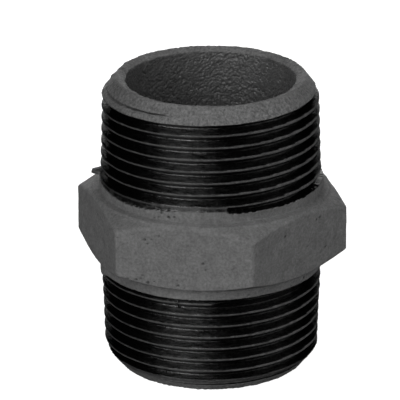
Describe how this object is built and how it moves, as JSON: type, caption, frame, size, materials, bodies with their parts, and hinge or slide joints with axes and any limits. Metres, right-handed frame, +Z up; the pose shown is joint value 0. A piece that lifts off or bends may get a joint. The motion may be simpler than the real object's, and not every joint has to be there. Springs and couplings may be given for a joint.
{
  "type": "hexagon nipple",
  "caption": "Black malleable iron pipe fitting: a hexagonal wrench body with a through bore between taper-threaded male ends, for joining internally threaded pipe fittings.",
  "frame": {"origin": "centre of the lower end face, which the fitting stands on", "axes": "+Z runs up the bore to the upper end face; two opposite corners of the hexagon lie along X, and two flats face +Y and -Y"},
  "size_m": [0.0532, 0.046, 0.057],
  "materials": {
    "cast_skin": "dark grey as-cast skin, matte and finely pitted",
    "cut_thread": "near-black machined thread under a film of oil"
  },
  "bodies": {
    "root": {"hex_body": "cast_skin", "upper_neck": "cast_skin", "lower_neck": "cast_skin", "upper_thread": "cut_thread", "lower_thread": "cut_thread"}
  },
  "joints": []
}
